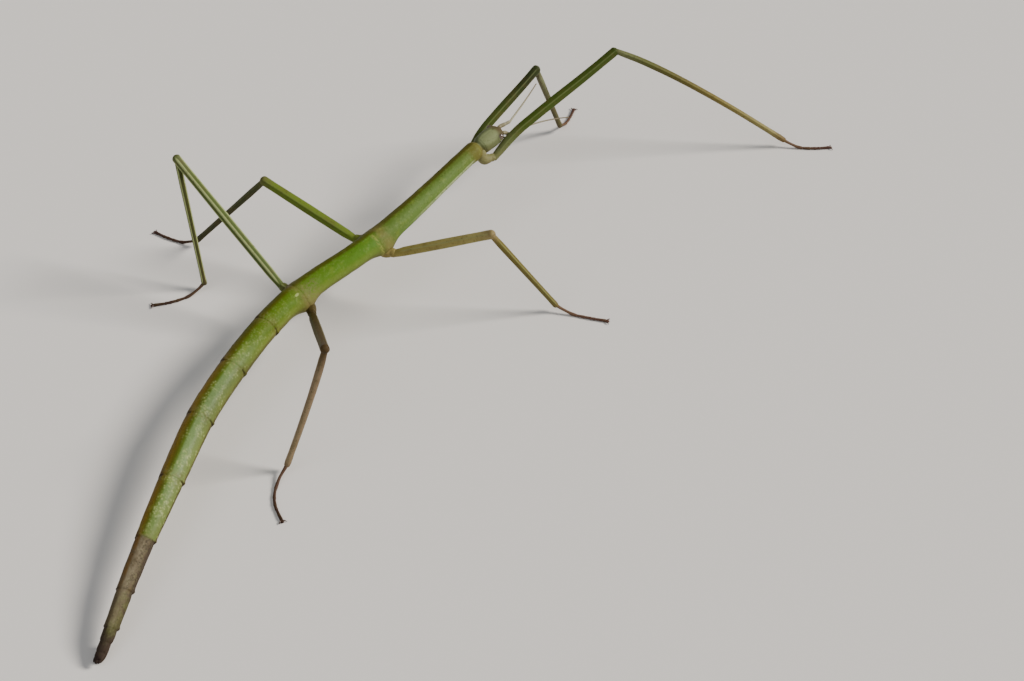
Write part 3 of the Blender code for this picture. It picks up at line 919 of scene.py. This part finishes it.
def hip_fields(at, line, angles):
    """1 where a leg joins the trunk, fading to 0 around it, and how far the skin swells there."""
    field = np.zeros((len(at), len(angles)))
    swell = field.copy()
    for leg in LEGS:
        middle = middle_of(f"coxa_{leg}")
        ring = nearest(line, middle)
        angle = angle_round(line, ring, middle)
        aside = np.radians(turned(angles, angle)) * line[ring, 3]
        ahead = (at - at[ring])[:, None] / HIP_STRETCH
        hip = hump(np.hypot(ahead, aside), 0.0, HIP_RADIUS)
        field = np.maximum(field, hip)
        swell = np.maximum(swell, hip * HIP_SWELLINGS[leg.split("_")[0]])
    return field, swell


def socket_places(line, rings):
    """For each eye and feeler: the ring it is on and its angle round the head."""
    places = {}
    for name in ("eye_left", "eye_right", "antenna_left", "antenna_right"):
        points, _ = solid_of(name)
        if name.startswith("antenna"):
            from_front = np.linalg.norm(points - line[rings[-1], :3], axis=1)
            points = points[np.argsort(from_front)[:12]]
        middle = points.mean(axis=0)
        ring = rings[nearest(line[rings], middle)]
        places[name] = (ring, angle_round(line, ring, middle))
    return places


def sculpt_head(proud, angles, line, head):
    """Sockets, sutures and cheeks, added to how far the head's rings stand out."""
    rings = np.flatnonzero(head)
    run = run_of(line)[:, None]
    share = (run - run[rings[0]]) / (run[rings[-1]] - run[rings[0]])
    wide = line[:, 3:5].mean(axis=1)[:, None]
    for name, (ring, angle) in socket_places(line, rings).items():
        aside = np.radians(turned(angles, angle)) * wide
        distance = np.hypot(run - run[ring], aside)
        radius = SOCKET_RADII[name.split("_")[0]]
        near = head * (distance < 2.0)
        proud += near * SOCKET_RIM * hump(distance, radius, 0.12)
        proud -= near * SOCKET_DEPTH * step(distance, radius * 0.85, radius * 0.5)
    off = off_top(angles)
    crown = head * step(share, 0.05, 0.15) * step(share, 0.72, 0.6)
    proud -= SUTURE_DEPTH * crown * hump(off, 0.0, 3.0)
    proud -= SIDE_SUTURE_DEPTH * crown * hump(off, 48.0, 4.0)
    # The suture forks towards the feelers.
    fork = head * step(share, 0.58, 0.64) * step(share, 0.95, 0.85)
    proud -= FORK_DEPTH * fork * hump(off, share * 110.0 - 66.0, 4.0)
    for collar, depth in COLLARS:
        proud -= depth * head * hump(share, collar, 0.02) * step(off, 120.0, 85.0)
    proud += CHEEK_HEIGHT * head * hump(share, 0.55, 0.22) * hump(off, 118.0, 22.0)
    proud += BROW_HEIGHT * head * hump(share, 0.86, 0.05) * hump(off, 0.0, 60.0)


def oval(centre, axis, radii, rows=18, sides=24, pole=0.03):
    """Rings of an ellipsoid with its first radius along an axis, open by a hair at its poles."""
    turn = np.linspace(pole, np.pi - pole, rows)
    line = np.zeros((rows, 5))
    line[:, :3] = centre - np.cos(turn)[:, None] * radii[0] * axis
    line[:, 3] = radii[1] * np.sin(turn)
    line[:, 4] = radii[2] * np.sin(turn)
    return ringed(line, circle(sides))


def head_axes():
    ahead = unit(middle_of("head") - middle_of("prothorax"))
    return ahead, *across(ahead)


def add_eyes(material):
    """Each eye is a domed, faceted ball, deep in its socket."""
    axis, side, up = head_axes()
    for name, sign in (("eye_left", 1), ("eye_right", -1)):
        points, _ = solid_of(name)
        out = sign * (((points @ side) * sign).max() - EYE_RADII[1] - EYE_SINK)
        centre = axis * halfway(points @ axis) + side * out + up * halfway(points @ up)
        skin = Skin(name + "_ball")
        skin.add(oval(centre, axis, EYE_RADII, 30, 40, 0.02))
        skin.build(material, "eye", name)


def add_feelers(material):
    """Scape, pedicel and a thin ringed flagellum, each antenna one skin."""
    for side in ("left", "right"):
        name = f"antenna_{side}"
        axis = long_axis(name, middle_of("head"))
        rows, _, far = sections_of(name, axis, FEELER_SHARES)
        start = slid(rows[0], rows[0, :3], axis, more=-FEELER_ROOT)
        end = slid(rows[-1], far, axis, SHORT_OF_TIP)
        at, line = smooth([start, *rows, end], 0.05, 0.2)
        share = at / at[-1]
        # Narrower past the scape and past the pedicel, then tapering, with a waist at each joint.
        thick = SCAPE_RADIUS - 0.05 * step(at, 1.2, 1.9) - 0.1 * step(at, 2.1, 2.7)
        thick -= 0.06 * step(share, 0.25, 1.0)
        thick -= 0.05 * (hump(at, 1.55, 0.12) + hump(at, 2.35, 0.12))
        ringlet = np.where(at > 2.5, np.cos(at * 2 * np.pi / FEELER_RING), 0.0)
        line[:, 3:] = (thick + 0.006 * ringlet)[:, None] * ends_of(at, 0.2, 0.2)
        skin = Skin(f"feeler_{side}", ("reach", "ridge"))
        grooves = np.maximum(-ringlet, 0)[:, None]
        skin.add(ringed(line, circle(20)), reach=share[:, None], ridge=grooves)
        skin.build(material, "antenna_cuticle", name)


def add_mouth(material):
    """Upper lip, jaws and two pairs of jointed palps under the front of the head."""
    ahead, side, up = head_axes()
    middle = middle_of("mouthparts")
    skin = Skin("mouth_skin")
    skin.add(oval(middle - up * 0.08, ahead, (0.7, 0.42, 0.26)))
    skin.add(oval(middle + ahead * 0.46 + up * 0.2, ahead, (0.3, 0.44, 0.16)))
    for name, sign in (("palp_left", 1), ("palp_right", -1)):
        jaw = middle + ahead * 0.3 + side * sign * 0.32 + up * 0.06
        skin.add(oval(jaw, ahead, (0.44, 0.2, 0.28)))
        axis = long_axis(name, middle_of("head"))
        rows, _, far = sections_of(name, axis, PALP_SHARES)
        add_palp(skin, rows, far, axis, PALP_RADIUS)
        inner = rows[:2].copy()
        inner[:, :3] -= ahead * 0.55 + side * sign * 0.18 + up * 0.02
        add_palp(skin, inner, inner[1, :3] + axis * 0.25, axis, INNER_PALP_RADIUS)
    skin.build(material, "head_cuticle", "mouthparts", "palp_left", "palp_right")


def add_palp(skin, rows, far, axis, radius):
    """A string of beads from inside the head to near this far end."""
    start = slid(rows[0], rows[0, :3], axis, more=-PALP_ROOT)
    end = slid(rows[-1], far, axis, SHORT_OF_TIP)
    at, line = smooth([start, *rows, end], 0.04, 0.1)
    bead = radius * (0.86 + 0.14 * np.abs(np.sin(at * np.pi / PALP_BEAD)))
    line[:, 3:] = bead[:, None] * ends_of(at, 0.1, 0.14)
    skin.add(ringed(line, circle(18)))


# --- Legs ---


def ridged(angles, ridges, size, share):
    """How far a leg's lengthwise ridges stand out, and where they are."""
    crest = sum(hump(turned(angles, ridge), 0.0, RIDGE_WIDTH) for ridge in ridges)
    proud = (crest - RIDGE_BASE) * size[:, None] * share
    return proud, np.broadcast_to(crest, proud.shape)


def limb_rows(name, start):
    """Rows along a long joint of a leg, from its near end to its far end."""
    axis = long_axis(name, start)
    rows, near, far = sections_of(name, axis, LIMB_SHARES)
    before = (rows[0, :3] - near) @ axis
    after = (far - rows[-1, :3]) @ axis
    first, last = rows[0].copy(), rows[-1].copy()
    first[:3] -= unit(rows[1, :3] - rows[0, :3]) * before
    last[:3] += unit(rows[-1, :3] - rows[-2, :3]) * after
    return np.array([first, *rows, last])


def add_limb(skin, rows, lead, place, ridges, profile):
    """One long joint of a leg: its skin starts inside the joint before it."""
    rows = rows.copy()
    size = np.median(rows[2:-2, 3:])
    rows[0, :3] -= unit(rows[1, :3] - rows[0, :3]) * lead
    at, line = smooth(rows, LEG_SPACING, 0.5)
    share = at / at[-1]
    thick = size * np.interp(share, *profile)
    ends = ends_of(at, 0.4, 0.9 * size)
    line[:, 3:] = thick[:, None] * ends
    angles = circle(LEG_SIDES)
    proud, crest = ridged(angles, ridges, thick, RIDGE_SHARE)
    shown = (0.15 + 0.85 * step(at, 0.5, 2.2) * step(at[-1] - at, 0.25, 1.2))[:, None] * ends
    rings = ringed(line, angles, proud * shown)
    reach = (place + share * 0.98)[:, None]
    skin.add(rings, reach=reach, ridge=crest * shown, top=top_of(angles))


def add_leg(name, trunk, claw_material):
    """One skin over coxa, femur, tibia and foot, and the claws."""
    skin = Skin(f"leg_skin_{name}", ("reach", "ridge", "top"))
    coxa = middle_of(f"coxa_{name}")
    femur = limb_rows(f"femur_{name}", coxa)
    tibia = limb_rows(f"tibia_{name}", femur[-1, :3])
    add_coxa(skin, trunk, coxa, femur[0, :3], COXA_RADII[name.split("_")[0]])
    add_limb(skin, femur, FEMUR_LEAD, 1.0, FEMUR_RIDGES, FEMUR_PROFILE)
    add_limb(skin, tibia, TIBIA_LEAD, 2.0, TIBIA_RIDGES, TIBIA_PROFILE)
    tip, ahead = add_foot(skin, f"tarsus_{name}", tibia)
    nodes = [f"{part}_{name}" for part in ("coxa", "femur", "tibia", "tarsus")]
    slot = "leg_brown" if name == "hind_right" else "leg_green"
    add_claws(tip, ahead, f"claws_tarsus_{name}", claw_material)
    skin.build(leg_paint(name), slot, *nodes)


def add_coxa(skin, trunk, middle, femur, radii):
    """A cone from inside the trunk, ending in the bead of the trochanter."""
    root = trunk[nearest(trunk, middle), :3]
    ahead = unit(femur - middle)
    back = np.array([2.0, 1.0, -0.12])[:, None] * TROCHANTER_LENGTH
    points = [root + (middle - root) * 0.25, *(femur - ahead * back)]
    rows = [[*point, radius, radius] for point, radius in zip(points, radii)]
    at, line = smooth(rows, 0.06, 0.4)
    waist = TROCHANTER_WAIST * hump(at[-1] - at, TROCHANTER_LENGTH, 0.14)
    line[:, 3:] = (line[:, 3:] - waist[:, None]) * ends_of(at, 0.3, 0.4)
    angles = circle(LEG_SIDES)
    proud, crest = ridged(angles, COXA_RIDGES, line[:, 3], COXA_RIDGE_SHARE)
    reach = (at / at[-1] * 0.95)[:, None]
    skin.add(ringed(line, angles, proud), reach=reach, ridge=crest * 0.3, top=top_of(angles))


def add_foot(skin, name, tibia):
    """Five small joints with pads under them and one at the end. Returns its tip and heading."""
    axis = long_axis(name, tibia[-1, :3])
    rows, _, far = sections_of(name, axis, TARSUS_SHARES)
    first = tibia[-1].copy()
    first[:3] -= unit(tibia[-1, :3] - tibia[-2, :3]) * ANKLE_DEPTH
    last = slid(rows[-1], far, axis, more=-END_PAD_LENGTH)
    at, line = smooth([first, *rows[:-1], last], 0.05, 0.15)
    share = at / at[-1]
    joints = np.array(TARSUS_JOINTS)
    index = np.clip(np.searchsorted(joints, share, side="right") - 1, 0, len(joints) - 2)
    local = (share - joints[index]) / (joints[index + 1] - joints[index])
    width = TARSUS_RADIUS + 0.05 * local**2 - 0.06 * hump(np.minimum(local, 1 - local), 0.0, 0.07)
    width += 0.07 * hump(share, 0.0, 0.12)
    ends = ends_of(at, 0.15, 0.12)[:, 0]
    line[:, 3] = width * ends
    line[:, 4] = width * TARSUS_FLATNESS * ends
    angles = circle(28)
    under = hump(off_top(angles), 180.0, 50.0)
    pad = TARSUS_PAD * hump(local, 0.9, 0.22) * (share > 0.1) * ends
    rings = on_floor(ringed(line, angles, pad[:, None] * under))
    skin.add(rings, reach=(3.0 + share)[:, None], top=top_of(angles))
    tip = line[-1, :3]
    heading = tip - line[-12, :3]
    ahead = unit(np.array([heading[0], heading[1], 0.0]))
    end_pad = tip + ahead * 0.16
    end_pad[2] = END_PAD_RADII[2]
    skin.add(on_floor(oval(end_pad, ahead, END_PAD_RADII)), reach=3.98)
    return tip, ahead


def on_floor(rings):
    """These rings with whatever would be under the floor pressed flat onto it."""
    rings[..., 2] = np.maximum(rings[..., 2], 0.0)
    return rings


def add_claws(tip, ahead, name, material):
    """Two hooks that curve out, forwards and down from the tip of a foot."""
    side, _ = across(ahead)
    claws = Skin(name, ("reach",))
    for sign in (1, -1):
        rows = []
        for share in np.linspace(0.0, 1.0, 7):
            out = sign * (0.1 + 0.46 * np.sin(share * np.pi * 0.5))
            place = tip + ahead * CLAW_LENGTH * (share - 0.45 * share**2) * 0.8 + side * out
            place[2] = 0.2 + 0.1 * np.sin(share * np.pi) - 0.15 * share
            thick = CLAW_RADIUS * (1 - 0.75 * share)
            rows.append([*place, thick, thick])
        at, line = smooth(rows, 0.04, 0.03)
        line[:, 3:] *= ends_of(at, 0.05, 0.03)
        claws.add(ringed(line, circle(14)), reach=(at / at[-1])[:, None])
    claws.build(material, "foot_cuticle")


# --- Tail ---


def add_tail(trunk):
    """The keeled plate under the tail, and the two short cerci with a plate between them."""
    axis = unit(middle_of("abdomen_10") - middle_of("abdomen_7"))
    skin = Skin("tail_skin", BODY_QUALITIES)
    add_operculum(skin, trunk, axis)
    for side in ("left", "right"):
        rows, near, far = sections_of(f"cercus_{side}", axis, CERCUS_SHARES)
        first = slid(rows[0], near, axis, more=-CERCUS_ROOT)
        last = slid(rows[-1], far, axis, more=-CERCUS_SHORTER)
        at, line = smooth([first, *rows, last], 0.04, 0.2)
        line[:, 3:] = CERCUS_RADIUS * ends_of(at, 0.1, 0.5)
        skin.add(ringed(line, circle(20)), body=13.8, top=1.0)
    plate = (middle_of("cercus_left") + middle_of("cercus_right")) / 2 - axis * PLATE_BACK
    skin.add(oval(plate, axis, PLATE_RADII), body=13.6, top=1.0)
    material = bpy.data.materials["body_skin"]
    skin.build(material, "tail_cuticle", "operculum", "cercus_left", "cercus_right")


def add_operculum(skin, trunk, axis):
    rows, near, far = sections_of("operculum", axis, OPERCULUM_SHARES)
    first, last = slid(rows[0], near, axis), slid(rows[-1], far, axis)
    at, line = smooth([first, *rows, last], 0.06, 0.3)
    ends = ends_of(at, 0.6, 0.4)
    line[:, 3:] *= ends
    # The plate hinges on the eighth segment: its front lies in the skin and its tip hangs free.
    away = np.linalg.norm(trunk[None, :, :3] - line[:, None, :3], axis=2)
    above = trunk[away.argmin(axis=1)]
    share = at / at[-1]
    gap = away.min(axis=1) - above[:, 4] - line[:, 4]
    lift = (gap + PLATE_OVERLAP) * (1 - step(share, 0.35, 0.95))
    lift += HINGE_DEPTH * hump(share, 0.0, 0.12)
    line[:, :3] += unit(above[:, :3] - line[:, :3]) * lift[:, None]
    angles = circle(40)
    keel = KEEL_HEIGHT * hump(off_top(angles), 180.0, 16.0) * ends
    rings = on_floor(ringed(line, angles, keel))
    skin.add(rings, body=13.0, top=top_of(angles))


# --- Studio ---


def add_camera():
    """The camera of the photograph. Returns the directions to its right and ahead of it."""
    head = middle_of("head")
    far = sections_of("mesothorax", long_axis("mesothorax", head), (0.5,))[2]
    near = sections_of("metathorax", long_axis("metathorax", head), (0.5,))[1]
    waist = Vector((far + near) / 2 * MM)
    back = CAMERA_BACK.normalized()
    right = Vector(UP).cross(back).normalized()
    data = bpy.data.cameras.new("camera")
    data.lens = LENS
    camera = placed("camera", data)
    turn = Matrix((right, back.cross(right), back)).transposed()
    camera.matrix_world = Matrix.Translation(waist + CAMERA_FROM_WAIST) @ turn.to_4x4()
    bpy.context.scene.camera = camera
    return right, -back


def add_light(name, towards, strength, softness, colour):
    """A broad, distant lamp, shining from this direction."""
    data = bpy.data.lights.new(name, "SUN")
    data.energy = strength
    data.angle = np.radians(softness)
    data.color = colour
    placed(name, data).rotation_euler = towards.to_track_quat("Z", "Y").to_euler()


def add_sky():
    world = bpy.data.worlds.new("studio")
    world.use_nodes = True
    sky = world.node_tree.nodes["Background"]
    sky.inputs["Color"].default_value = SKY_TINT
    sky.inputs["Strength"].default_value = SKY_STRENGTH
    bpy.context.scene.world = world


def add_floor():
    half = FLOOR_SIZE / 2
    mesh = bpy.data.meshes.new("floor")
    corners = [(-half, -half, 0), (half, -half, 0), (half, half, 0), (-half, half, 0)]
    mesh.from_pydata(corners, [], [(0, 1, 2, 3)])
    mesh.materials.append(floor_paint())
    floor = placed("floor", mesh)


def add_studio():
    right, ahead = add_camera()
    ahead = Vector((ahead.x, ahead.y, 0.0)).normalized()
    up = Vector(UP)
    add_light("key", right * 0.92 + ahead * 0.1 + up * 0.66, *KEY_LIGHT)
    add_light("fill", right * -0.3 - ahead * 0.5 + up * 0.8, *FILL_LIGHT)
    add_sky()
    add_floor()


TRUNK_LINE = add_trunk()
add_eyes(eye_paint())
add_feelers(feeler_paint())
add_mouth(mouth_paint())
CLAW_PAINT = claw_paint()
for leg in LEGS:
    add_leg(leg, TRUNK_LINE, CLAW_PAINT)
add_tail(TRUNK_LINE)
add_studio()
